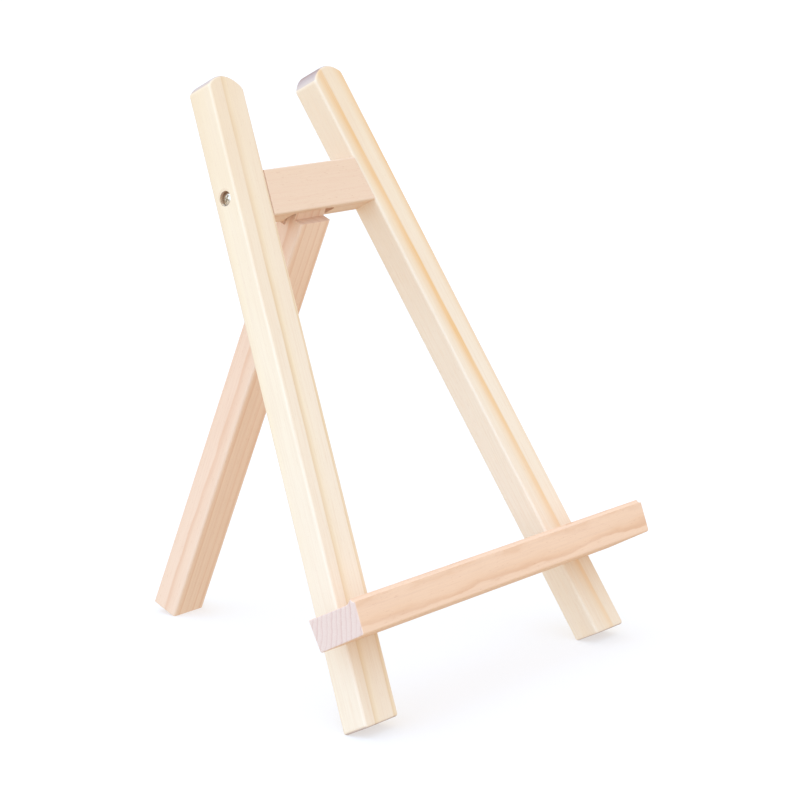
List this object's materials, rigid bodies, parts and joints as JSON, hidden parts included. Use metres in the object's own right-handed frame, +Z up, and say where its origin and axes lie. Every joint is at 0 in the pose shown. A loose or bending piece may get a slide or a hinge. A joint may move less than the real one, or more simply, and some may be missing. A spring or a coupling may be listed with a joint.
{
  "type": "plate display stand",
  "caption": "Small wooden easel stand: two splayed uprights, a crossbar, a lipped ledge to hold a plate, and a rear prop that folds flat on a hidden pin.",
  "frame": {"origin": "on the floor, under the centre of the stand's bounding box, with the prop open", "axes": "+X to the viewer's right along the ledge, +Y to the back, where the prop stands, +Z up"},
  "size_m": [0.2, 0.193, 0.2484],
  "materials": {
    "pine": "bare sanded pine, matt",
    "beech": "bare sanded beech, matt",
    "zinc_screw": "bright zinc plate",
    "pin_steel": "drawn wire"
  },
  "bodies": {
    "frame": {"left_upright": "pine", "right_upright": "pine", "ledge": "beech", "crossbar": "beech", "hinge_pin": "pin_steel", "crossbar_screw_left": "zinc_screw", "crossbar_screw_right": "zinc_screw", "ledge_screw_left": "zinc_screw", "ledge_screw_right": "zinc_screw"},
    "prop": {"prop_leg": "beech"}
  },
  "joints": [
    {"name": "prop_fold", "type": "hinge", "parent": "frame", "child": "prop", "pos_m": [0, 0.01085, 0.19259], "axis": [1, 0, 0], "range_deg": [-49, 0]}
  ]
}
